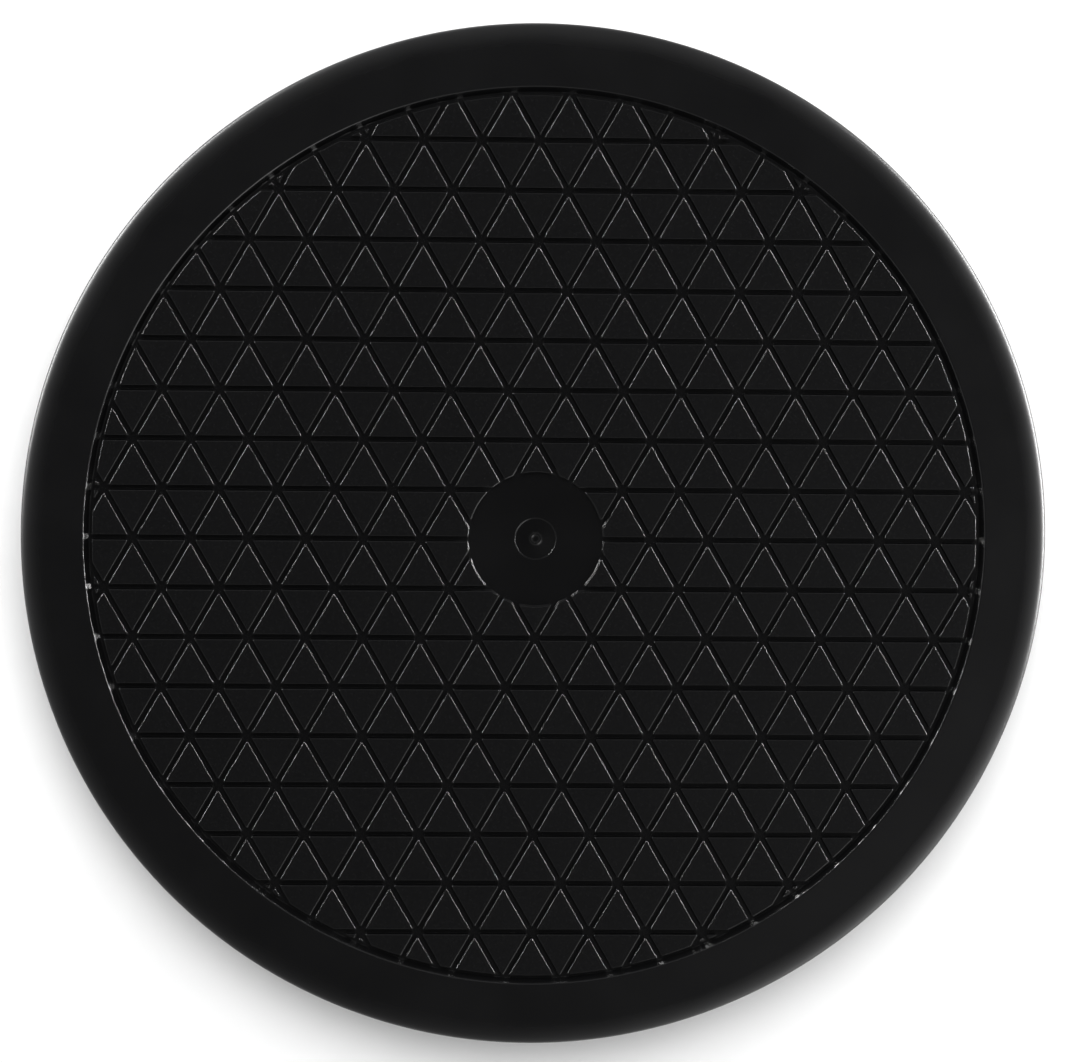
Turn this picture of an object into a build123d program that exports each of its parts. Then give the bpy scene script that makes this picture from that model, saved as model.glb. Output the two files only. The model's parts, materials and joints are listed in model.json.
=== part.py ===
from build123d import *
import os
from math import sqrt

# Twelve-inch ball-bearing turntable: a moulded platter with raised triangular tiles on a low base.
#
# Origin: on the spin axis, on the surface that the rubber feet stand on.  +Z is up and all sizes are in
# millimetres.  The platter (body "platter") turns on 24 steel balls that a nylon cage (body "cage")
# keeps apart, above a base (body "base") that stands still.

# ---------------------------------------------------------------- platter, seen from above
PLATTER_R = 152.4  # twelve inches across
TILE_TOP_Z = 24.0  # overall height
TILE_PITCH = 17.05  # side of the triangle lattice
TILE_RELIEF = 2.0  # tile tops above the smooth floor
GROOVE_W = 1.6  # between the walls of two tiles
TILE_FIELD_R = 131.3  # circle that trims the outermost tiles
TILE_MIN_AREA = 4.0  # a trimmed tile smaller than this is left out
CENTRE_DISC_R = 20.2  # smooth disc at the centre
GATE_WELL_R = 6.1  # moulding gate: a shallow well with a nub in it
GATE_WELL_DEPTH = 0.5
GATE_NUB_R = 1.5
RIM_EDGE_R = 134.0  # inner edge of the smooth rim
RIM_RISE = 1.9  # inner edge of the rim above the floor
RIM_SLOPE_W = 1.5  # width of the slope from the floor up to the rim
RIM_FALL = 0.4  # the rim drops this much before it rolls over
ROLL_W = 7.0  # width and height of the rolled outer edge
ROLL_H = 3.1

# ---------------------------------------------------------------- platter, underside
PLATE_T = 2.8  # top plate under the floor
WALL_T = 2.6  # skirt and rim
SKIRT_BOTTOM_Z = 14.0
SKIRT_EDGE_R = 0.8  # rounding of the skirt's lower edges
BOSS_R = 14.0  # hub boss
BOSS_Z = 11.0
DUST_RING_R = 126.0  # ring rib that stands just outside the base wall
DUST_RING_T = 2.0
DUST_RING_Z = 13.6
RIB_T = 1.8
RIB_Z = 15.5
INNER_RIBS = 12
RIM_RIBS = 36
RIB_SINK = 0.5  # ribs run this far into the walls that they join

# ---------------------------------------------------------------- base
BASE_R = 122.0
BASE_BOTTOM_Z = 2.0
BASE_FLOOR_T = 3.0
BASE_WALL_T = 2.4
BASE_WALL_TOP_Z = 13.0
BASE_EDGE_R = 1.0  # rounding of the outer wall's edges
BASE_RIB_Z = 8.0
UNDER_RECESS = 0.8  # the underside is cored out this deep between its lands
UNDER_HUB_R = 18.0
UNDER_RING_R = 57.0
UNDER_LAND_R = 96.0
UNDER_RIB_T = 2.0
HUB_R = 16.0
HUB_TOP_Z = 10.0
HUB_WELL_R = 10.5  # well for the screw's head, open downwards
HUB_WELL_Z = 6.0

# ---------------------------------------------------------------- ball bearing
TRACK_R = 95.0  # circle of the ball centres
BALL_R = 3.175  # quarter-inch balls
BALL_COUNT = 24
BALL_Z = 12.0
BALL_GAP = 0.03  # running clearance above and below a ball
GROOVE_R = 3.5  # arc of the groove in a race
GROOVE_DEPTH = 1.0
RACE_IN_R = 82.0
RACE_OUT_R = 104.0
RACE_T = 1.2
RACE_FIT = 0.05  # between a race and the lip round it
RACE_SCREWS = 6
RACE_SCREW_R = 85.75  # circle of the race screws
CAGE_IN_R = 90.2
CAGE_OUT_R = 99.8
CAGE_T = 2.4
CAGE_RAIL_T = 1.0  # thin rails between the thicker pockets
POCKET_FIT = 0.1  # ball to pocket wall
POCKET_WALL_T = 1.6
SEAT_IN_R = 81.0  # two seat rings carry a race, with a channel between them
CHANNEL_IN_R = 90.5
CHANNEL_OUT_R = 99.5
SEAT_OUT_R = 106.0
SEAT_LIP_H = 1.0

# ---------------------------------------------------------------- pivot
SHOULDER_R = 5.0  # shoulder screw, from below
SHOULDER_FIT = 0.05
SCREW_HEAD_R = 8.0
SCREW_HEAD_Z = 2.7
SCREW_HEAD_T = 2.4
SCREW_EDGE = 0.4
HEX_KEY_R = 2.9  # socket, corner to corner
HEX_KEY_DEPTH = 1.6
THREAD_R = 2.5
THREAD_FIT = 0.02
THREAD_TOP_Z = 16.5
INSERT_R = 4.0
INSERT_TOP_Z = 17.5
BUSH_R = 7.0
PIVOT_WASHER_R = 9.5
PIVOT_WASHER_T = 0.8
THRUST_WASHER_R = 13.0
THRUST_WASHER_T = 0.8

# ---------------------------------------------------------------- feet and small screws
FOOT_COUNT = 6
FOOT_R = 9.0
FOOT_CIRCLE_R = 108.0
FOOT_RECESS = 1.2
FOOT_EDGE_R = 0.6
FOOT_GROOVE_IN_R = 3.5
FOOT_GROOVE_OUT_R = 5.0
FOOT_GROOVE_DEPTH = 0.5
SMALL_SCREW_R = 1.5  # race screws: shank, head and length under the race
SMALL_HEAD_R = 2.7
SINK_ANGLE = 90  # of the countersunk head
SMALL_SCREW_L = 3.4
SMALL_HOLE_L = 3.9  # its blind hole in the plastic
SMALL_FIT = 0.02
CROSS_W = 0.6  # recess in a race screw's head
CROSS_L = 2.8
CROSS_DEPTH = 0.7

# ---------------------------------------------------------------- sizes that follow
FLOOR_Z = TILE_TOP_Z - TILE_RELIEF
PLATE_BOTTOM_Z = FLOOR_Z - PLATE_T
RIM_EDGE_Z = FLOOR_Z + RIM_RISE
ROLL_TOP_Z = RIM_EDGE_Z - RIM_FALL
ROLL_BOTTOM_Z = ROLL_TOP_Z - ROLL_H
ROLL_START_R = PLATTER_R - ROLL_W
SKIRT_IN_R = PLATTER_R - WALL_T
ROW_H = TILE_PITCH * sqrt(3) / 2
TILE_R = (ROW_H - 1.5 * GROOVE_W) * 2 / 3  # corner radius of a tile

BASE_FLOOR_Z = BASE_BOTTOM_Z + BASE_FLOOR_T
BASE_WALL_IN_R = BASE_R - BASE_WALL_T
BASE_LAND_Z = BASE_BOTTOM_Z + UNDER_RECESS

GROOVE_Z = BALL_R + BALL_GAP  # groove bottom, from the plane of the ball centres
RACE_FACE = GROOVE_Z - GROOVE_DEPTH  # face and back of a race, from the same plane
RACE_BACK = RACE_FACE + RACE_T
ARC_SHIFT = GROOVE_R - GROOVE_Z  # the groove's centre lies this far past the plane
BACK_ARC_R = GROOVE_R + RACE_T
GROOVE_HALF = sqrt(GROOVE_R**2 - (RACE_FACE + ARC_SHIFT) ** 2)
BACK_HALF = sqrt(BACK_ARC_R**2 - (RACE_BACK + ARC_SHIFT) ** 2)
BASE_SEAT_Z = BALL_Z - RACE_BACK
PLATTER_SEAT_Z = BALL_Z + RACE_BACK
SEAT_LIP_R = RACE_OUT_R + RACE_FIT
SCREW_HEAD_TOP_Z = SCREW_HEAD_Z + SCREW_HEAD_T
FOOT_TOP_Z = BASE_BOTTOM_Z + FOOT_RECESS

os.makedirs("parts", exist_ok=True)


def finish(built, node):
    """Label a finished sub-part and write it to its own STEP file."""
    built.part.label = node
    export_step(built.part, f"parts/{node}.step")


def tile_centres(shift, rise):
    """Centres of one family of tiles, each shift along and rise above its lattice node."""
    rows = int(TILE_FIELD_R / ROW_H) + 2
    columns = int(TILE_FIELD_R / TILE_PITCH) + rows
    centres = []
    for row in range(-rows, rows + 1):
        for column in range(-columns, columns + 1):
            x = TILE_PITCH * (column + row / 2) + shift
            y = ROW_H * row + rise
            if sqrt(x * x + y * y) < TILE_FIELD_R + TILE_R:
                centres.append((x, y))
    return centres


# ---------------------------------------------------------------- platter: one moulding
with BuildPart() as platter:
    with BuildSketch(Plane.XZ):
        with BuildLine():
            Polyline(
                (0, PLATE_BOTTOM_Z),
                (0, FLOOR_Z),
                (GATE_NUB_R, FLOOR_Z),
                (GATE_NUB_R, FLOOR_Z - GATE_WELL_DEPTH),
                (GATE_WELL_R, FLOOR_Z - GATE_WELL_DEPTH),
                (GATE_WELL_R, FLOOR_Z),
                (RIM_EDGE_R - RIM_SLOPE_W, FLOOR_Z),
                (RIM_EDGE_R, RIM_EDGE_Z),
                (ROLL_START_R, ROLL_TOP_Z),
            )
            EllipticalCenterArc(
                (ROLL_START_R, ROLL_BOTTOM_Z), ROLL_W, ROLL_H, start_angle=0, arc_size=90
            )
            Polyline(
                (PLATTER_R, ROLL_BOTTOM_Z),
                (PLATTER_R, SKIRT_BOTTOM_Z),
                (SKIRT_IN_R, SKIRT_BOTTOM_Z),
                (SKIRT_IN_R, ROLL_BOTTOM_Z - WALL_T / 2),
                (ROLL_START_R, ROLL_TOP_Z - WALL_T),
                (RIM_EDGE_R, PLATE_BOTTOM_Z),
                (0, PLATE_BOTTOM_Z),
            )
        make_face()
    revolve(axis=Axis.Z)
    skirt_edges = platter.edges().filter_by(GeomType.CIRCLE).group_by(Axis.Z)[0]
    fillet(skirt_edges, SKIRT_EDGE_R)

    # hub boss, the two seat rings for the upper race, and the ring outside the base wall
    with BuildSketch(Plane.XY.offset(BOSS_Z)):
        Circle(BOSS_R)
    extrude(amount=PLATE_BOTTOM_Z - BOSS_Z)
    with BuildSketch(Plane.XY.offset(PLATTER_SEAT_Z)):
        Circle(SEAT_OUT_R)
        Circle(CHANNEL_OUT_R, mode=Mode.SUBTRACT)
        Circle(CHANNEL_IN_R)
        Circle(SEAT_IN_R, mode=Mode.SUBTRACT)
    extrude(amount=PLATE_BOTTOM_Z - PLATTER_SEAT_Z)
    with BuildSketch(Plane.XY.offset(PLATTER_SEAT_Z - SEAT_LIP_H)):
        Circle(SEAT_OUT_R)
        Circle(SEAT_LIP_R, mode=Mode.SUBTRACT)
    extrude(amount=SEAT_LIP_H)
    with BuildSketch(Plane.XY.offset(DUST_RING_Z)):
        Circle(DUST_RING_R + DUST_RING_T)
        Circle(DUST_RING_R, mode=Mode.SUBTRACT)
    extrude(amount=PLATE_BOTTOM_Z - DUST_RING_Z)

    # radial ribs: a few long ones inside the seat, many short ones outside it
    with BuildSketch(Plane.XY.offset(RIB_Z)):
        with PolarLocations((BOSS_R + SEAT_IN_R) / 2, INNER_RIBS):
            Rectangle(SEAT_IN_R - BOSS_R + 2 * RIB_SINK, RIB_T)
        with PolarLocations((SEAT_OUT_R + SKIRT_IN_R) / 2, RIM_RIBS):
            Rectangle(SKIRT_IN_R - SEAT_OUT_R + 2 * RIB_SINK, RIB_T)
    extrude(amount=ROLL_TOP_Z - WALL_T + RIB_SINK - RIB_Z)

    # blind holes for the threaded insert and for the race screws
    with BuildSketch(Plane.XY.offset(BOSS_Z)):
        Circle(INSERT_R)
    extrude(amount=INSERT_TOP_Z - BOSS_Z, mode=Mode.SUBTRACT)
    with BuildSketch(Plane.XY.offset(PLATTER_SEAT_Z)):
        with PolarLocations(RACE_SCREW_R, RACE_SCREWS):
            Circle(SMALL_SCREW_R + SMALL_FIT)
    extrude(amount=SMALL_HOLE_L, mode=Mode.SUBTRACT)

    # the raised tiles, half of them pointing along +Y and half along -Y
    with BuildSketch(Plane.XY.offset(FLOOR_Z)) as tiles:
        with Locations(tile_centres(TILE_PITCH / 2, ROW_H / 3)):
            RegularPolygon(TILE_R, 3, rotation=90)
        with Locations(tile_centres(TILE_PITCH, ROW_H * 2 / 3)):
            RegularPolygon(TILE_R, 3, rotation=-90)
        Circle(TILE_FIELD_R, mode=Mode.INTERSECT)
        Circle(CENTRE_DISC_R, mode=Mode.SUBTRACT)
    kept_tiles = tiles.sketch.faces().filter_by(lambda tile: tile.area > TILE_MIN_AREA)
    extrude(kept_tiles, amount=TILE_RELIEF)
finish(platter, "platter")

# ---------------------------------------------------------------- base: one moulding
with BuildPart() as base_disc:
    with BuildSketch(Plane.XZ):
        with BuildLine():
            Polyline(
                (BUSH_R, HUB_WELL_Z),
                (HUB_WELL_R, HUB_WELL_Z),
                (HUB_WELL_R, BASE_BOTTOM_Z),
                (UNDER_HUB_R, BASE_BOTTOM_Z),
                (UNDER_HUB_R, BASE_LAND_Z),
                (UNDER_LAND_R, BASE_LAND_Z),
                (UNDER_LAND_R, BASE_BOTTOM_Z),
                (BASE_R, BASE_BOTTOM_Z),
                (BASE_R, BASE_WALL_TOP_Z),
                (BASE_WALL_IN_R, BASE_WALL_TOP_Z),
                (BASE_WALL_IN_R, BASE_FLOOR_Z),
                (HUB_R, BASE_FLOOR_Z),
                (HUB_R, HUB_TOP_Z),
                (BUSH_R, HUB_TOP_Z),
                close=True,
            )
        make_face()
    revolve(axis=Axis.Z)
    outer_edges = base_disc.edges().filter_by(
        lambda edge: edge.geom_type == GeomType.CIRCLE and abs(edge.radius - BASE_R) < SMALL_FIT
    )
    fillet(outer_edges, BASE_EDGE_R)

    # seat rings for the lower race, and the ribs that brace them
    with BuildSketch(Plane.XY.offset(BASE_FLOOR_Z)):
        Circle(SEAT_OUT_R)
        Circle(CHANNEL_OUT_R, mode=Mode.SUBTRACT)
        Circle(CHANNEL_IN_R)
        Circle(SEAT_IN_R, mode=Mode.SUBTRACT)
    extrude(amount=BASE_SEAT_Z - BASE_FLOOR_Z)
    with BuildSketch(Plane.XY.offset(BASE_SEAT_Z)):
        Circle(SEAT_OUT_R)
        Circle(SEAT_LIP_R, mode=Mode.SUBTRACT)
    extrude(amount=SEAT_LIP_H)
    with BuildSketch(Plane.XY.offset(BASE_FLOOR_Z)):
        with PolarLocations((HUB_R + SEAT_IN_R) / 2, INNER_RIBS):
            Rectangle(SEAT_IN_R - HUB_R + 2 * RIB_SINK, RIB_T)
        with PolarLocations((SEAT_OUT_R + BASE_WALL_IN_R) / 2, RIM_RIBS):
            Rectangle(BASE_WALL_IN_R - SEAT_OUT_R + 2 * RIB_SINK, RIB_T)
    extrude(amount=BASE_RIB_Z - BASE_FLOOR_Z)

    # low ribs and a ring on the cored underside
    with BuildSketch(Plane.XY.offset(BASE_BOTTOM_Z)):
        Circle(UNDER_RING_R + UNDER_RIB_T / 2)
        Circle(UNDER_RING_R - UNDER_RIB_T / 2, mode=Mode.SUBTRACT)
        with PolarLocations((UNDER_HUB_R + UNDER_LAND_R) / 2, INNER_RIBS):
            Rectangle(UNDER_LAND_R - UNDER_HUB_R + 2 * RIB_SINK, UNDER_RIB_T)
    extrude(amount=UNDER_RECESS)

    # recesses for the feet, and pilot holes for the race screws
    with BuildSketch(Plane.XY.offset(BASE_BOTTOM_Z)):
        with PolarLocations(FOOT_CIRCLE_R, FOOT_COUNT):
            Circle(FOOT_R)
    extrude(amount=FOOT_RECESS, mode=Mode.SUBTRACT)
    with BuildSketch(Plane.XY.offset(BASE_SEAT_Z)):
        with PolarLocations(RACE_SCREW_R, RACE_SCREWS):
            Circle(SMALL_SCREW_R + SMALL_FIT)
    extrude(amount=-SMALL_HOLE_L, mode=Mode.SUBTRACT)
finish(base_disc, "base_disc")

# ---------------------------------------------------------------- rubber feet
for number in range(FOOT_COUNT):
    foot_angle = 360 * number / FOOT_COUNT
    with BuildPart() as foot:
        with BuildSketch():
            with PolarLocations(FOOT_CIRCLE_R, 1, start_angle=foot_angle):
                Circle(FOOT_R)
        extrude(amount=FOOT_TOP_Z)
        fillet(foot.edges().group_by(Axis.Z)[0], FOOT_EDGE_R)
        with BuildSketch():
            with PolarLocations(FOOT_CIRCLE_R, 1, start_angle=foot_angle):
                Circle(FOOT_GROOVE_OUT_R)
                Circle(FOOT_GROOVE_IN_R, mode=Mode.SUBTRACT)
        extrude(amount=FOOT_GROOVE_DEPTH, mode=Mode.SUBTRACT)
    finish(foot, f"foot_{number + 1}")

# ---------------------------------------------------------------- races: two pressed rings alike
face_z = BALL_Z - RACE_FACE
back_z = BALL_Z - RACE_BACK
with BuildPart() as lower_race:
    with BuildSketch(Plane.XZ):
        with BuildLine():
            Line((RACE_IN_R, face_z), (TRACK_R - GROOVE_HALF, face_z))
            ThreePointArc(
                (TRACK_R - GROOVE_HALF, face_z),
                (TRACK_R, BALL_Z - GROOVE_Z),
                (TRACK_R + GROOVE_HALF, face_z),
            )
            Polyline(
                (TRACK_R + GROOVE_HALF, face_z),
                (RACE_OUT_R, face_z),
                (RACE_OUT_R, back_z),
                (TRACK_R + BACK_HALF, back_z),
            )
            ThreePointArc(
                (TRACK_R + BACK_HALF, back_z),
                (TRACK_R, BALL_Z + ARC_SHIFT - BACK_ARC_R),
                (TRACK_R - BACK_HALF, back_z),
            )
            Polyline((TRACK_R - BACK_HALF, back_z), (RACE_IN_R, back_z), (RACE_IN_R, face_z))
        make_face()
    revolve(axis=Axis.Z)
    with Locations(Plane.XY.offset(face_z)):
        with PolarLocations(RACE_SCREW_R, RACE_SCREWS):
            CounterSinkHole(
                SMALL_SCREW_R + SMALL_FIT, SMALL_HEAD_R + SMALL_FIT, counter_sink_angle=SINK_ANGLE
            )
finish(lower_race, "lower_race")

with BuildPart() as upper_race:
    mirror(lower_race.part, about=Plane.XY.offset(BALL_Z))
finish(upper_race, "upper_race")

# ---------------------------------------------------------------- race screws, six to a race
with BuildPart() as race_screw:
    with BuildSketch(Plane.XZ):
        Polygon(
            (0, face_z),
            (SMALL_HEAD_R, face_z),
            (SMALL_SCREW_R, face_z - SMALL_HEAD_R + SMALL_SCREW_R),
            (SMALL_SCREW_R, back_z - SMALL_SCREW_L),
            (0, back_z - SMALL_SCREW_L),
            align=None,
        )
    revolve(axis=Axis.Z)
    with BuildSketch(Plane.XY.offset(face_z)):
        Rectangle(CROSS_L, CROSS_W)
        Rectangle(CROSS_W, CROSS_L)
    extrude(amount=-CROSS_DEPTH, mode=Mode.SUBTRACT)

with BuildPart() as lower_race_screws:
    with PolarLocations(RACE_SCREW_R, RACE_SCREWS):
        add(race_screw.part)
finish(lower_race_screws, "lower_race_screws")

with BuildPart() as upper_race_screws:
    mirror(lower_race_screws.part, about=Plane.XY.offset(BALL_Z))
finish(upper_race_screws, "upper_race_screws")

# ---------------------------------------------------------------- cage and balls
with BuildPart() as ball_cage:
    with BuildSketch(Plane.XY.offset(BALL_Z - CAGE_T / 2)):
        with PolarLocations(TRACK_R, BALL_COUNT):
            Circle(BALL_R + POCKET_FIT + POCKET_WALL_T)
    extrude(amount=CAGE_T)
    with BuildSketch(Plane.XY.offset(BALL_Z - CAGE_RAIL_T / 2)):
        Circle(CAGE_OUT_R)
        Circle(CAGE_IN_R, mode=Mode.SUBTRACT)
    extrude(amount=CAGE_RAIL_T)
    with BuildSketch(Plane.XY.offset(BALL_Z - CAGE_T)):
        with PolarLocations(TRACK_R, BALL_COUNT):
            Circle(BALL_R + POCKET_FIT)
    extrude(amount=2 * CAGE_T, mode=Mode.SUBTRACT)
finish(ball_cage, "ball_cage")

for number in range(BALL_COUNT):
    with BuildPart() as ball:
        with Locations(Plane.XY.offset(BALL_Z)):
            with PolarLocations(TRACK_R, 1, start_angle=360 * number / BALL_COUNT):
                Sphere(BALL_R)
    finish(ball, f"ball_{number + 1:02d}")

# ---------------------------------------------------------------- pivot
with BuildPart() as pivot_screw:
    with BuildSketch(Plane.XY.offset(SCREW_HEAD_Z)):
        Circle(SCREW_HEAD_R)
    extrude(amount=SCREW_HEAD_T)
    chamfer(pivot_screw.edges(), SCREW_EDGE)
    with BuildSketch(Plane.XY.offset(SCREW_HEAD_TOP_Z)):
        Circle(SHOULDER_R)
    extrude(amount=BOSS_Z - SCREW_HEAD_TOP_Z)
    with BuildSketch(Plane.XY.offset(BOSS_Z)):
        Circle(THREAD_R - THREAD_FIT)
    extrude(amount=THREAD_TOP_Z - BOSS_Z)
    with BuildSketch(Plane.XY.offset(SCREW_HEAD_Z)):
        RegularPolygon(HEX_KEY_R, 6)
    extrude(amount=HEX_KEY_DEPTH, mode=Mode.SUBTRACT)
finish(pivot_screw, "pivot_screw")

with BuildPart() as pivot_washer:
    with BuildSketch(Plane.XY.offset(SCREW_HEAD_TOP_Z)):
        Circle(PIVOT_WASHER_R)
        Circle(SHOULDER_R + THREAD_FIT, mode=Mode.SUBTRACT)
    extrude(amount=PIVOT_WASHER_T)
finish(pivot_washer, "pivot_washer")

with BuildPart() as pivot_bush:
    with BuildSketch(Plane.XY.offset(HUB_WELL_Z)):
        Circle(BUSH_R)
        Circle(SHOULDER_R + SHOULDER_FIT, mode=Mode.SUBTRACT)
    extrude(amount=HUB_TOP_Z - HUB_WELL_Z)
finish(pivot_bush, "pivot_bush")

with BuildPart() as thrust_washer:
    with BuildSketch(Plane.XY.offset(HUB_TOP_Z)):
        Circle(THRUST_WASHER_R)
        Circle(SHOULDER_R + 2 * SHOULDER_FIT, mode=Mode.SUBTRACT)
    extrude(amount=THRUST_WASHER_T)
finish(thrust_washer, "thrust_washer")

with BuildPart() as threaded_insert:
    with BuildSketch(Plane.XY.offset(BOSS_Z)):
        Circle(INSERT_R)
        Circle(THREAD_R, mode=Mode.SUBTRACT)
    extrude(amount=INSERT_TOP_Z - BOSS_Z)
finish(threaded_insert, "threaded_insert")
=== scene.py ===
"""Looks of the ball-bearing turntable.

The moulded platter is rebuilt with rounded edges.  All other pieces are the CAD's, with materials.
"""

import json
from math import atan2, ceil, cos, hypot, pi, radians, sin, sqrt, tan

import bmesh
import bpy
from mathutils import Matrix, Vector
from mathutils.geometry import delaunay_2d_cdt


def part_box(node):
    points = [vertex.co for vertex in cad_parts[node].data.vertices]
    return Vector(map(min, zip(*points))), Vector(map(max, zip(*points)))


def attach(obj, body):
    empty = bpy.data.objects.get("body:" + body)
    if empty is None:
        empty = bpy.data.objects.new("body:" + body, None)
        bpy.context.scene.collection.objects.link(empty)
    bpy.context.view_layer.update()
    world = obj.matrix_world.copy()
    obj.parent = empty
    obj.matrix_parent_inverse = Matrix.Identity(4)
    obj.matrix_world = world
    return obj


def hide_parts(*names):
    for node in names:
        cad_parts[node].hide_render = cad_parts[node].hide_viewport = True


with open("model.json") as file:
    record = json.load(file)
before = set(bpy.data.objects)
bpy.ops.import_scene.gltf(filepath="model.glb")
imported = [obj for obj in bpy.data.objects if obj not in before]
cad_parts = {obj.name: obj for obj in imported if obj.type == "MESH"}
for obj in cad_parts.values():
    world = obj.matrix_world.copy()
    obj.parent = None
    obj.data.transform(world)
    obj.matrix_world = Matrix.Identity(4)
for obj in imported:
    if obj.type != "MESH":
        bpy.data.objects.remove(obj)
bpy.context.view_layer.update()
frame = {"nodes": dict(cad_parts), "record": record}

MM = 0.001
MICRON = 0.000001

# ---------------------------------------------------------------- sizes of the platter
_, PLATTER_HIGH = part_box("platter")
PLATTER_R = PLATTER_HIGH.x
TILE_TOP = PLATTER_HIGH.z

# tiles and the floor between them
TILE_PITCH = 17.05 * MM
ROW_H = TILE_PITCH * sqrt(3) / 2
GROOVE_W = 1.6 * MM
TILE_RELIEF = 2.0 * MM
TILE_DRAFT = 0.1 * MM
TILE_EDGE = 0.34 * MM
EDGE_SHRINK = 0.8  # for each try at an edge that a small tile has room for
TILE_FOOT = 0.25 * MM
TILE_CORNER = 0.25 * MM
CORNER_REACH = 0.45  # how much of a side a rounded corner may take up
CORNER_TURN = radians(20)  # a bend softer than this belongs to an arc
TILE_MIN_AREA = 0.5 * MM * MM
FIELD_R = 131.3 * MM
CENTRE_DISC_R = 20.2 * MM
FLOOR = TILE_TOP - TILE_RELIEF

# the moulding gate's mark: a dished well and a nub with a pit
GATE_WELL_R = 6.1 * MM
GATE_WELL_DEPTH = 0.5 * MM
GATE_ROUND = 0.25 * MM
GATE_DISH = 0.2 * MM
NUB_FOOT_R = 2.0 * MM
NUB_RING_R = 1.45 * MM
NUB_PIT_R = 0.8 * MM
NUB_PIT_DEPTH = 0.35 * MM
NUB_DISH_BEND = 0.1  # how far the bend at the nub's foot reaches into the dish
NUB_BEND = 0.4  # how much of a slope of the nub the bend at either end takes up

# rim, rolled edge and skirt
RIM_EDGE_R = 134.0 * MM
RIM_SLOPE_W = 1.6 * MM
RIM_RISE = 2.0 * MM
RIM_ROUND = 0.35 * MM
RIM_FILLET = 0.35 * MM
RIM_FALL = 0.4 * MM
ROLL_W = 7.0 * MM
ROLL_H = 2.4 * MM
WALL = 2.6 * MM
SKIRT_IN_R = PLATTER_R - WALL
SKIRT_EDGE = 0.8 * MM
SKIRT_BOTTOM = 14.0 * MM

# how finely the shapes are divided
ARC_STEP = 1.5 * MM
AROUND = 720
GATE_AROUND = 96
ROUND_STEPS = 4
FOOT_STEPS = 3
ROLL_STEPS = 24
FLAT_STEPS = 6
BEND_STEPS = 6

# joining the rebuilt skin and the CAD's underside
WELD = 2 * MICRON
SEAM_REACH = 0.05 * MM
UNDERSIDE_TOP = FLOOR - GATE_WELL_DEPTH - 0.4 * MM  # the CAD's faces above this are rebuilt
SHARP_ANGLE = radians(50)
CDT_INSIDE = 1  # the triangulation keeps what lies inside the outlines
CDT_EPSILON = 1e-9

# ---------------------------------------------------------------- outlines in plan


def sides(points):
    """Each point of a closed line with the next one."""
    return zip(points, points[1:] + points[:1])


def corners(points):
    """Each point of a closed line with the one before it and the one after it."""
    return zip(points[-1:] + points[:-1], points, points[1:] + points[:1])


def lattice_triangles():
    """Corners of every full tile that reaches into the field, counter-clockwise."""
    # half a groove is off each of the three sides; a corner is 2/3 of the height from the centre
    corner_r = (ROW_H - 1.5 * GROOVE_W) * 2 / 3
    rows = ceil(FIELD_R / ROW_H) + 1
    columns = ceil(FIELD_R / TILE_PITCH) + rows
    triangles = []
    # in each cell one tile points to +Y and one to -Y
    for shift, rise, turn in ((0.5, 1 / 3, 90), (1.0, 2 / 3, 270)):
        for row in range(-rows, rows + 1):
            for column in range(-columns, columns + 1):
                centre = Vector((TILE_PITCH * (column + row / 2 + shift), ROW_H * (row + rise)))
                if centre.length < FIELD_R + corner_r:
                    angles = [radians(turn + 120 * k) for k in range(3)]
                    triangles.append([centre + corner_r * Vector((cos(a), sin(a))) for a in angles])
    return triangles


def crossings(start, end, radius):
    """Where the segment crosses the circle about the axis, as shares of its length."""
    step = end - start
    a = step.dot(step)
    b = 2 * start.dot(step)
    c = start.dot(start) - radius * radius
    root = b * b - 4 * a * c
    if root <= 0:
        return []
    shares = [(-b - sqrt(root)) / (2 * a), (-b + sqrt(root)) / (2 * a)]
    return [share for share in shares if 0 < share < 1]


def arc_between(start, end, radius):
    """Points of the circle strictly between two points on it, the short way round."""
    first = atan2(start.y, start.x)
    turn = (atan2(end.y, end.x) - first + pi) % (2 * pi) - pi
    steps = max(1, round(abs(turn) * radius / ARC_STEP))
    angles = [first + turn * k / steps for k in range(1, steps)]
    return [radius * Vector((cos(angle), sin(angle))) for angle in angles]


def trim(outline, radius, keep_inside):
    """The outline with what lies outside (or inside) the circle cut off along the circle."""
    trail = []
    for start, end in sides(outline):
        kept = (start.length < radius) == keep_inside
        if kept:
            trail.append((start, None))
        for share in crossings(start, end, radius):
            trail.append((start.lerp(end, share), "out" if kept else "in"))
            kept = not kept
    points = []
    for (point, mark), (following, _) in sides(trail):
        points.append(point)
        if mark == "out":
            points.extend(arc_between(point, following, radius))
    return points


def area(outline):
    return sum(a.x * b.y - b.x * a.y for a, b in sides(outline)) / 2


def round_corners(outline, radius):
    """The outline with its real corners rounded in plan; the soft bends of an arc stay."""
    points = []
    for before, here, after in corners(outline):
        back = (before - here).normalized()
        ahead = (after - here).normalized()
        turn = pi - back.angle(ahead)
        if turn < CORNER_TURN:
            points.append(here)
            continue
        room = CORNER_REACH * min((before - here).length, (after - here).length)
        reach = min(radius * tan(turn / 2), room)
        side = 1 if back.cross(ahead) < 0 else -1
        start = here + back * reach
        centre = start + Vector((back.y, -back.x)) * (side * reach / tan(turn / 2))
        for k in range(ROUND_STEPS + 1):
            rotation = Matrix.Rotation(side * turn * k / ROUND_STEPS, 2)
            points.append(centre + rotation @ (start - centre))
    return points


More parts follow.
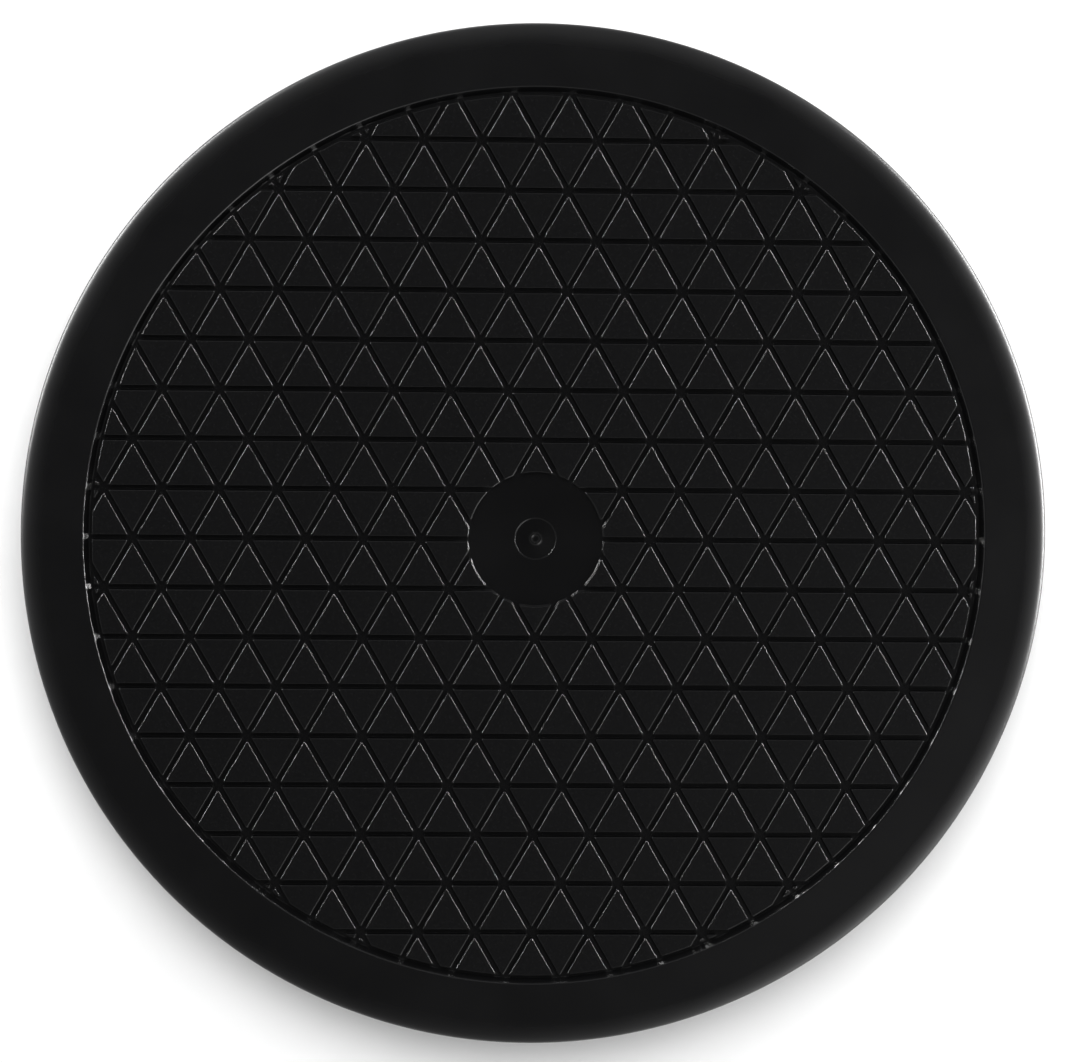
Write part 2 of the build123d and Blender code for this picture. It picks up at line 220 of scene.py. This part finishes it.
def inset(outline, distance):
    """The outline moved inwards by distance, vertex for vertex."""
    moved = []
    for before, here, after in corners(outline):
        first = (here - before).normalized()
        second = (after - here).normalized()
        normal_1 = Vector((-first.y, first.x))
        normal_2 = Vector((-second.y, second.x))
        moved.append(here + (normal_1 + normal_2) * (distance / (1 + normal_1.dot(normal_2))))
    return moved


def folds(outline, moved):
    """Whether any side of the outline has turned round in the moved one."""
    return any((b - a).dot(d - c) <= 0 for (a, b), (c, d) in zip(sides(outline), sides(moved)))


def tile_outlines():
    """Plan outlines of all tiles, trimmed to the field and round the centre disc."""
    outlines = []
    for triangle in lattice_triangles():
        outline = trim(trim(triangle, FIELD_R, True), CENTRE_DISC_R, False)
        if len(outline) > 2 and area(outline) > TILE_MIN_AREA:
            outlines.append(round_corners(outline, TILE_CORNER))
    return outlines


def ring_points(radius, count):
    angles = [2 * pi * k / count for k in range(count)]
    return [radius * Vector((cos(angle), sin(angle))) for angle in angles]


# ---------------------------------------------------------------- profiles

# a profile is a list of pairs: inset of a tile's outline or radius about the axis, and height


def quarter(steps, first=0):
    """Sine and cosine of evenly spaced angles over a quarter turn."""
    angles = [pi / 2 * k / steps for k in range(first, steps + 1)]
    return [(sin(angle), cos(angle)) for angle in angles]


def bend(start, corner, end):
    """A soft bend that leaves one line before the corner and joins the next one after it."""
    points = []
    for k in range(BEND_STEPS + 1):
        share = k / BEND_STEPS
        points.append(tuple(start.lerp(corner, share).lerp(corner.lerp(end, share), share)))
    return points


def tile_profile(edge):
    """From the floor up the tile's foot fillet and wall and over its edge."""
    foot = [
        (-TILE_DRAFT - TILE_FOOT * (1 - sine), FLOOR + TILE_FOOT * (1 - cosine))
        for sine, cosine in quarter(FOOT_STEPS)
    ]
    top = [
        (edge * (1 - cosine), TILE_TOP - edge + edge * sine)
        for sine, cosine in quarter(ROUND_STEPS)
    ]
    return foot + top


def gate_profile():
    """From the floor down into the dished gate well, over the nub's ring and into its pit."""
    well = FLOOR - GATE_WELL_DEPTH
    brim = [
        (GATE_WELL_R + GATE_ROUND * (1 - sine), FLOOR - GATE_ROUND * (1 - cosine))
        for sine, cosine in quarter(ROUND_STEPS)
    ]
    wall_foot = [
        (GATE_WELL_R - GATE_ROUND * (1 - cosine), well + GATE_ROUND * (1 - sine))
        for sine, cosine in quarter(ROUND_STEPS, first=1)
    ]
    dish_start = Vector(wall_foot[-1])
    nub_foot = Vector((NUB_FOOT_R, well + GATE_DISH))
    nub_top = Vector((NUB_RING_R, FLOOR))
    pit = Vector((NUB_PIT_R, FLOOR - NUB_PIT_DEPTH))
    pit_end = Vector((NUB_PIT_R / 2, pit.y))
    foot_start = nub_foot.lerp(dish_start, NUB_DISH_BEND)
    foot_bend = bend(foot_start, nub_foot, nub_foot.lerp(nub_top, NUB_BEND))
    top_bend = bend(nub_foot.lerp(nub_top, 1 - NUB_BEND), nub_top, nub_top.lerp(pit, NUB_BEND))
    pit_bend = bend(nub_top.lerp(pit, 1 - NUB_BEND), pit, pit_end)
    return brim + wall_foot + foot_bend + top_bend + pit_bend


def rim_profile():
    """From the skirt's inner lower edge out, up and over the rim, and down to the floor."""
    roll_top = FLOOR + RIM_RISE - RIM_FALL
    roll_bottom = roll_top - ROLL_H
    skirt_inner_edge = [
        (SKIRT_IN_R + SKIRT_EDGE * (1 - cosine), SKIRT_BOTTOM + SKIRT_EDGE * (1 - sine))
        for sine, cosine in quarter(ROUND_STEPS)
    ]
    skirt_outer_edge = [
        (PLATTER_R - SKIRT_EDGE * (1 - sine), SKIRT_BOTTOM + SKIRT_EDGE * (1 - cosine))
        for sine, cosine in quarter(ROUND_STEPS)
    ]
    roll = [
        (PLATTER_R - ROLL_W * (1 - cosine), roll_bottom + ROLL_H * sine)
        for sine, cosine in quarter(ROLL_STEPS)
    ]
    flat_start = Vector((PLATTER_R - ROLL_W, roll_top))
    edge = Vector((RIM_EDGE_R, FLOOR + RIM_RISE))
    foot = Vector((RIM_EDGE_R - RIM_SLOPE_W, FLOOR))
    slope = (foot - edge).normalized()
    edge_start = edge + (flat_start - edge).normalized() * RIM_ROUND
    flat = [tuple(flat_start.lerp(edge_start, k / FLAT_STEPS)) for k in range(1, FLAT_STEPS)]
    edge_bend = bend(edge_start, edge, edge + slope * RIM_ROUND)
    foot_bend = bend(foot - slope * RIM_FILLET, foot, foot - Vector((RIM_FILLET, 0)))
    return skirt_inner_edge + skirt_outer_edge + roll + flat + edge_bend + foot_bend


# ---------------------------------------------------------------- mesh building


def add_loop(mesh, outline, z):
    return [mesh.verts.new((p.x, p.y, z)) for p in outline]


def bridge(mesh, lower, upper):
    """Quads between two loops of the same length, outwards if the loops run counter-clockwise."""
    for (low_1, low_2), (high_1, high_2) in zip(sides(lower), sides(upper)):
        mesh.faces.new((low_1, low_2, high_2, high_1))


def cap(mesh, loop):
    """Closes a level loop with triangles that stay inside it, also where it is hollow."""
    points = [vert.co.xy for vert in loop]
    outline = list(range(len(points)))
    _, _, faces, sources, _, _ = delaunay_2d_cdt(points, [], [outline], CDT_INSIDE, CDT_EPSILON)
    for face in faces:
        mesh.faces.new([loop[sources[k][0]] for k in face])


def add_tile(mesh, outline):
    """One tile from its foot fillet to its top face.  Returns the foot's outline on the floor."""
    edge = TILE_EDGE
    while folds(outline, inset(outline, edge)):
        edge *= EDGE_SHRINK
    profile = tile_profile(edge)
    loops = [add_loop(mesh, inset(outline, distance), z) for distance, z in profile]
    for lower, upper in zip(loops, loops[1:]):
        bridge(mesh, lower, upper)
    cap(mesh, loops[-1])
    return inset(outline, profile[0][0])


def revolve(mesh, profile, count, close_centre=False):
    """Surface of revolution through the (radius, height) pairs, facing right of the way they run."""
    loops = [add_loop(mesh, ring_points(radius, count), z) for radius, z in profile]
    for loop, following in zip(loops, loops[1:]):
        bridge(mesh, loop, following)
    if close_centre:
        mesh.faces.new(loops[-1])


def add_floor(mesh, feet):
    """The flat floor between the tiles, from the gate well out to the rim's fillet."""
    outside = ring_points(RIM_EDGE_R - RIM_SLOPE_W - RIM_FILLET, AROUND)
    well = ring_points(GATE_WELL_R + GATE_ROUND, GATE_AROUND)
    points = []
    shape_indices = []
    for shape in [outside, well] + feet:
        shape_indices.append(list(range(len(points), len(points) + len(shape))))
        points.extend(shape)
    coords, _, faces, _, _, sources = delaunay_2d_cdt(
        points, [], shape_indices, CDT_INSIDE, CDT_EPSILON
    )
    verts = [mesh.verts.new((p.x, p.y, FLOOR)) for p in coords]
    for face, source in zip(faces, sources):
        if source == [0]:  # inside the outside ring only
            mesh.faces.new([verts[k] for k in face])


def add_underside(mesh):
    """The CAD platter's own underside, without the faces that this script rebuilds."""
    source = bmesh.new()
    source.from_mesh(frame["nodes"]["platter"].data)
    bmesh.ops.remove_doubles(source, verts=source.verts, dist=WELD)
    kept = {}
    for face in source.faces:
        centre = face.calc_center_median()
        radius = hypot(centre.x, centre.y)
        at_skirt_edge = radius > SKIRT_IN_R - SKIRT_EDGE and centre.z < SKIRT_BOTTOM + SKIRT_EDGE
        if radius > SKIRT_IN_R or at_skirt_edge or centre.z > UNDERSIDE_TOP:
            continue
        for vert in face.verts:
            if vert.index not in kept:
                kept[vert.index] = mesh.verts.new(vert.co)
        mesh.faces.new([kept[vert.index] for vert in face.verts])
    source.free()


def angle_of(vert):
    return atan2(vert.co.y, vert.co.x)


def seam_ring(mesh):
    """Open edges' vertices at the top of the skirt's inner lower edge, sorted by angle."""
    seam_z = SKIRT_BOTTOM + SKIRT_EDGE
    found = {
        vert
        for edge in mesh.edges
        if edge.is_boundary
        for vert in edge.verts
        if abs(hypot(vert.co.x, vert.co.y) - SKIRT_IN_R) < SEAM_REACH
        and abs(vert.co.z - seam_z) < SEAM_REACH
    }
    return sorted(found, key=angle_of)


def zip_rings(mesh, first, second):
    """Triangles between two rings of vertices with different counts, both sorted by angle."""
    i = j = 0
    angle_1 = [angle_of(vert) for vert in first] + [angle_of(first[0]) + 2 * pi]
    angle_2 = [angle_of(vert) for vert in second] + [angle_of(second[0]) + 2 * pi]
    while i < len(first) or j < len(second):
        a = first[i % len(first)]
        b = second[j % len(second)]
        if j >= len(second) or (i < len(first) and angle_1[i + 1] <= angle_2[j + 1]):
            mesh.faces.new((a, first[(i + 1) % len(first)], b))
            i += 1
        else:
            mesh.faces.new((a, second[(j + 1) % len(second)], b))
            j += 1


def build_platter():
    mesh = bmesh.new()
    feet = [add_tile(mesh, outline) for outline in tile_outlines()]
    add_floor(mesh, feet)
    revolve(mesh, gate_profile(), GATE_AROUND, close_centre=True)
    revolve(mesh, rim_profile(), AROUND)
    bmesh.ops.remove_doubles(mesh, verts=mesh.verts, dist=WELD)
    top_ring = seam_ring(mesh)
    top_set = set(top_ring)
    add_underside(mesh)
    low_ring = [vert for vert in seam_ring(mesh) if vert not in top_set]
    zip_rings(mesh, top_ring, low_ring)
    bmesh.ops.recalc_face_normals(mesh, faces=mesh.faces)
    data = bpy.data.meshes.new("platter_moulding")
    mesh.to_mesh(data)
    mesh.free()
    data.shade_smooth()
    data.set_sharp_from_angle(angle=SHARP_ANGLE)
    piece = bpy.data.objects.new("platter_moulding", data)
    bpy.context.scene.collection.objects.link(piece)
    weighted = piece.modifiers.new("weighted", "WEIGHTED_NORMAL")
    weighted.keep_sharp = True
    return piece


# ---------------------------------------------------------------- shader nodes

NOISE_DETAIL = 3.0
NOISE_LOW = 0.3  # nearly all of a noise lies between these two
NOISE_HIGH = 0.7
BROAD_SCALE = 60  # patches per metre, for slow changes of colour and gloss


def noise(tree, coords, scale):
    node = tree.nodes.new("ShaderNodeTexNoise")
    node.inputs["Scale"].default_value = scale
    node.inputs["Detail"].default_value = NOISE_DETAIL
    tree.links.new(coords, node.inputs["Vector"])
    return node.outputs["Fac"]


def map_range(tree, value, from_low, from_high, to_low, to_high):
    node = tree.nodes.new("ShaderNodeMapRange")
    node.inputs["From Min"].default_value = from_low
    node.inputs["From Max"].default_value = from_high
    node.inputs["To Min"].default_value = to_low
    node.inputs["To Max"].default_value = to_high
    tree.links.new(value, node.inputs["Value"])
    return node.outputs["Result"]


def spread(tree, noise_value, low, high):
    """The noise stretched to run from low to high."""
    return map_range(tree, noise_value, NOISE_LOW, NOISE_HIGH, low, high)


def blend(tree, share, first, second):
    node = tree.nodes.new("ShaderNodeMix")
    tree.links.new(share, node.inputs["Factor"])
    tree.links.new(first, node.inputs["A"])
    tree.links.new(second, node.inputs["B"])
    return node.outputs["Result"]


def colour_between(tree, value, dark, light):
    node = tree.nodes.new("ShaderNodeMix")
    node.data_type = "RGBA"
    node.inputs["A"].default_value = (*dark, 1)
    node.inputs["B"].default_value = (*light, 1)
    tree.links.new(value, node.inputs["Factor"])
    return node.outputs["Result"]


def combine(tree, operation, first, second):
    """A math node on two values, each a number or another node's output."""
    node = tree.nodes.new("ShaderNodeMath")
    node.operation = operation
    for socket, value in zip(node.inputs, (first, second)):
        if isinstance(value, (int, float)):
            socket.default_value = value
        else:
            tree.links.new(value, socket)
    return node.outputs["Value"]


def height_of(tree, coords):
    node = tree.nodes.new("ShaderNodeSeparateXYZ")
    tree.links.new(coords, node.inputs["Vector"])
    return node.outputs["Z"]


def flattened(tree, vector):
    """The vector without its height."""
    node = tree.nodes.new("ShaderNodeVectorMath")
    node.operation = "MULTIPLY"
    node.inputs[1].default_value = (1, 1, 0)
    tree.links.new(vector, node.inputs[0])
    return node.outputs["Vector"]


def radius_of(tree, coords):
    node = tree.nodes.new("ShaderNodeVectorMath")
    node.operation = "LENGTH"
    tree.links.new(flattened(tree, coords), node.inputs[0])
    return node.outputs["Value"]


def add_bump(tree, shader, height, distance):
    """Relief on the shader from a height that runs from 0 to 1 over the distance."""
    node = tree.nodes.new("ShaderNodeBump")
    node.inputs["Strength"].default_value = 1.0
    node.inputs["Distance"].default_value = distance
    tree.links.new(height, node.inputs["Height"])
    tree.links.new(node.outputs["Normal"], shader.inputs["Normal"])
    return node


# ---------------------------------------------------------------- materials

# the platter's black plastic: colours from dark to light, roughness from low to high
PLATTER_DARK = (0.0031, 0.0031, 0.0033)
PLATTER_LIGHT = (0.0038, 0.0038, 0.0040)
SMOOTH_ROUGH = (0.22, 0.26)
GRAIN_ROUGH = (0.2, 0.28)
GRAIN_SCALE = 1600
GRAIN_HEIGHT = 3.5 * MICRON
GRAIN_STRENGTH = (0.1, 1)  # off the tile tops and on them
TOP_MASK = (TILE_TOP - 0.05 * MM, TILE_TOP - 0.01 * MM)
ROLL_DULLER = 0.14  # roughness added over the rolled edge
ROLL_DULL_R = (PLATTER_R - ROLL_W, PLATTER_R - 1.5 * MM)


def new_material(name):
    material = bpy.data.materials.new(name)
    material.use_nodes = True
    shader = material.node_tree.nodes["Principled BSDF"]
    return material, material.node_tree, shader


def moulded(name, dark, light, rough_low, rough_high, grain_scale, grain_height, metallic=0.0):
    """A material whose colour, roughness and relief all vary a little over the surface."""
    material, tree, shader = new_material(name)
    coords = tree.nodes.new("ShaderNodeTexCoord").outputs["Object"]
    broad = noise(tree, coords, BROAD_SCALE)
    fine = noise(tree, coords, grain_scale)
    tree.links.new(colour_between(tree, broad, dark, light), shader.inputs["Base Color"])
    tree.links.new(spread(tree, broad, rough_low, rough_high), shader.inputs["Roughness"])
    add_bump(tree, shader, fine, grain_height)
    shader.inputs["Metallic"].default_value = metallic
    return material


def platter_plastic():
    """Even on the floor and the rim, a fine grain on the tiles, and duller over the rolled edge."""
    material, tree, shader = new_material("black_plastic_platter")
    coords = tree.nodes.new("ShaderNodeTexCoord").outputs["Object"]
    on_top = map_range(tree, height_of(tree, coords), *TOP_MASK, 0, 1)
    broad = noise(tree, coords, BROAD_SCALE)
    fine = noise(tree, coords, GRAIN_SCALE)
    mottled = colour_between(tree, broad, PLATTER_DARK, PLATTER_LIGHT)
    tree.links.new(mottled, shader.inputs["Base Color"])
    smooth = spread(tree, broad, *SMOOTH_ROUGH)
    grained = spread(tree, fine, *GRAIN_ROUGH)
    duller = map_range(tree, radius_of(tree, coords), *ROLL_DULL_R, 0, ROLL_DULLER)
    rough = combine(tree, "ADD", blend(tree, on_top, smooth, grained), duller)
    tree.links.new(rough, shader.inputs["Roughness"])
    bump = add_bump(tree, shader, fine, GRAIN_HEIGHT)
    tree.links.new(map_range(tree, on_top, 0, 1, *GRAIN_STRENGTH), bump.inputs["Strength"])
    return material


def grey(level):
    return (level, level, level)


platter = build_platter()
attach(platter, "platter")
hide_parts("platter")
platter.data.materials.append(platter_plastic())

NYLON_DARK, NYLON_LIGHT = (0.7, 0.69, 0.64), (0.76, 0.75, 0.7)
CAGE_DARK, CAGE_LIGHT = (0.68, 0.67, 0.62), (0.75, 0.74, 0.69)
BRONZE_DARK, BRONZE_LIGHT = (0.42, 0.27, 0.12), (0.5, 0.33, 0.16)
BRASS_DARK, BRASS_LIGHT = (0.68, 0.52, 0.22), (0.74, 0.58, 0.27)
METAL = 1.0
# slot: name, dark and light colour, low and high roughness, grains per metre, their height, metallic
FINISHES = {
    "base_plastic": ("base_black_plastic", grey(0.007), grey(0.01), 0.4, 0.5, 3000, 10 * MICRON),
    "foot_rubber": ("foot_black_rubber", grey(0.018), grey(0.028), 0.75, 0.9, 2500, 20 * MICRON),
    "race_steel": ("race_pressed_steel", grey(0.5), grey(0.6), 0.25, 0.4, 2000, 4 * MICRON, METAL),
    "ball_steel": ("ball_bearing_steel", grey(0.75), grey(0.8), 0.06, 0.12, 2000, 1 * MICRON, METAL),
    "screw_steel": ("screw_zinc_steel", grey(0.55), grey(0.66), 0.25, 0.38, 2500, 4 * MICRON, METAL),
    "washer_steel": (
        "washer_zinc_steel", grey(0.55), grey(0.66), 0.28, 0.4, 2500, 4 * MICRON, METAL
    ),
    "bush_bronze": (
        "bush_sintered_bronze", BRONZE_DARK, BRONZE_LIGHT, 0.4, 0.55, 4000, 10 * MICRON, METAL
    ),
    "insert_brass": (
        "insert_turned_brass", BRASS_DARK, BRASS_LIGHT, 0.2, 0.3, 2500, 3 * MICRON, METAL
    ),
    "washer_nylon": ("washer_natural_nylon", NYLON_DARK, NYLON_LIGHT, 0.4, 0.5, 2500, 5 * MICRON),
    "cage_nylon": ("cage_natural_nylon", CAGE_DARK, CAGE_LIGHT, 0.4, 0.5, 2500, 5 * MICRON),
}
MATERIALS = {slot: moulded(*finish) for slot, finish in FINISHES.items()}
SLOTS = {row["node"]: row["material_slot"] for row in frame["record"]["subparts"]}
for node, piece in frame["nodes"].items():
    if node != "platter":
        piece.data.materials.clear()
        piece.data.materials.append(MATERIALS[SLOTS[node]])

# ---------------------------------------------------------------- floor, light and camera

FLOOR_HALF = 6.0  # half the side of the square floor
PAPER = ("studio_paper", grey(0.78), grey(0.82), 0.8, 0.9, 400, 20 * MICRON)

# low strips either side: name, azimuth, width, power
STRIPS = (("left_strip", radians(151), 0.7, 14.5), ("right_strip", radians(13), 0.8, 22))
STRIP_DISTANCE = 0.8
STRIP_HEIGHT = 0.055
STRIP_Z = 0.085

FILL_SIZE = 1.6
FILL_POWER = 40
FILL_DISTANCE = 1.9
FILL_AZIMUTH = radians(95)
FILL_ELEVATION = radians(60)

# brightness of the room round the floor; a spot's cosine is where its edge begins
FRONT_WALL = 0.6
BACK_WALL = 0.14
BACK_AZIMUTH = radians(90)
BACK_COSINE = 0.2
PANEL = 3.5
PANEL_AZIMUTH = radians(-46)
PANEL_COSINE = 0.88
HIGH_BACK = 0.16
HIGH_BACK_FADE = (0.88, 0.96)  # sine of the elevation
CEILING = 0.008

SENSOR_WIDTH = 36.0
FOCAL_LENGTH = 168.7
CAMERA_TURNS = (("X", 0.10503693), ("Y", -0.04806061), ("Z", 0.01074132))
CAMERA_PLACE = Vector((-4.296, 9.222, 86.40)) * TILE_PITCH  # from the centre of the tile tops
CLIP_END = 20.0


def area_light(name, shape, size, power):
    """A soft light that the camera doesn't see."""
    data = bpy.data.lights.new(name, "AREA")
    data.shape = shape
    data.size = size
    data.energy = power
    lamp = bpy.data.objects.new(name, data)
    lamp.visible_camera = False
    bpy.context.scene.collection.objects.link(lamp)
    return lamp


def strip_light(name, azimuth, width, power):
    """An upright soft strip, low above the floor and facing the object."""
    lamp = area_light(name, "RECTANGLE", width, power)
    lamp.data.size_y = STRIP_HEIGHT
    lamp.location = (STRIP_DISTANCE * cos(azimuth), STRIP_DISTANCE * sin(azimuth), STRIP_Z)
    lamp.rotation_euler = (pi / 2, 0, azimuth + pi / 2)


def back_fill():
    """A broad fill from high behind for floor, walls and shadows, seen in no reflection."""
    lamp = area_light("back_fill", "DISK", FILL_SIZE, FILL_POWER)
    level = FILL_DISTANCE * cos(FILL_ELEVATION)
    height = FILL_DISTANCE * sin(FILL_ELEVATION)
    lamp.location = (level * cos(FILL_AZIMUTH), level * sin(FILL_AZIMUTH), height)
    lamp.rotation_euler = (pi / 2 - FILL_ELEVATION, 0, FILL_AZIMUTH + pi / 2)
    lamp.visible_glossy = False


def facing(tree, level_way, azimuth, from_cosine):
    """Rises from 0 to 1 as a level direction turns towards the azimuth."""
    node = tree.nodes.new("ShaderNodeVectorMath")
    node.operation = "DOT_PRODUCT"
    tree.links.new(level_way, node.inputs[0])
    node.inputs[1].default_value = (cos(azimuth), sin(azimuth), 0)
    ramp = map_range(tree, node.outputs["Value"], from_cosine, 1, 0, 1)
    ramp.node.interpolation_type = "SMOOTHSTEP"
    return ramp


def studio_world():
    """Walls that darken upwards and backwards, a panel front right, and a glow high at the back."""
    world = bpy.data.worlds.new("studio")
    world.use_nodes = True
    tree = world.node_tree
    coords = tree.nodes.new("ShaderNodeTexCoord").outputs["Generated"]
    height = height_of(tree, coords)
    level = tree.nodes.new("ShaderNodeVectorMath")
    level.operation = "NORMALIZE"
    tree.links.new(flattened(tree, coords), level.inputs[0])
    level_way = level.outputs["Vector"]
    lowness = map_range(tree, height, 0, 1, 1, 0)
    back = facing(tree, level_way, BACK_AZIMUTH, BACK_COSINE)
    panel = facing(tree, level_way, PANEL_AZIMUTH, PANEL_COSINE)
    walls = map_range(tree, back, 0, 1, FRONT_WALL, BACK_WALL)
    bright = combine(tree, "ADD", walls, combine(tree, "MULTIPLY", panel, PANEL))
    below_ceiling = map_range(tree, height, *HIGH_BACK_FADE, HIGH_BACK, 0)
    high_back = combine(tree, "MULTIPLY", back, below_ceiling)
    bright = combine(tree, "ADD", combine(tree, "MULTIPLY", lowness, bright), high_back)
    strength = combine(tree, "ADD", bright, CEILING)
    tree.links.new(strength, tree.nodes["Background"].inputs["Strength"])
    tree.nodes["Background"].inputs["Color"].default_value = (1, 1, 1, 1)
    return world


def build_stage():
    data = bpy.data.meshes.new("studio_floor")
    low, high = -FLOOR_HALF, FLOOR_HALF
    square = [(low, low, 0), (high, low, 0), (high, high, 0), (low, high, 0)]
    data.from_pydata(square, [], [(0, 1, 2, 3)])
    floor = bpy.data.objects.new("studio_floor", data)
    bpy.context.scene.collection.objects.link(floor)
    data.materials.append(moulded(*PAPER))
    bpy.context.scene.world = studio_world()
    for strip in STRIPS:
        strip_light(*strip)
    back_fill()


def build_camera():
    """Nearly straight above, leaning a little towards -X and +Y."""
    data = bpy.data.cameras.new("camera")
    data.sensor_width = SENSOR_WIDTH
    data.lens = FOCAL_LENGTH
    data.clip_end = CLIP_END
    camera = bpy.data.objects.new("camera", data)
    turn = Matrix.Identity(3)
    for axis, angle in CAMERA_TURNS:
        turn = turn @ Matrix.Rotation(angle, 3, axis)
    flip = Matrix.Diagonal((1, -1, -1))
    camera.rotation_mode = "QUATERNION"
    camera.rotation_quaternion = (flip @ turn @ flip).transposed().to_quaternion()
    camera.location = CAMERA_PLACE + Vector((0, 0, TILE_TOP))
    bpy.context.scene.collection.objects.link(camera)
    bpy.context.scene.camera = camera


build_stage()
build_camera()
bpy.context.scene.view_settings.view_transform = "Standard"
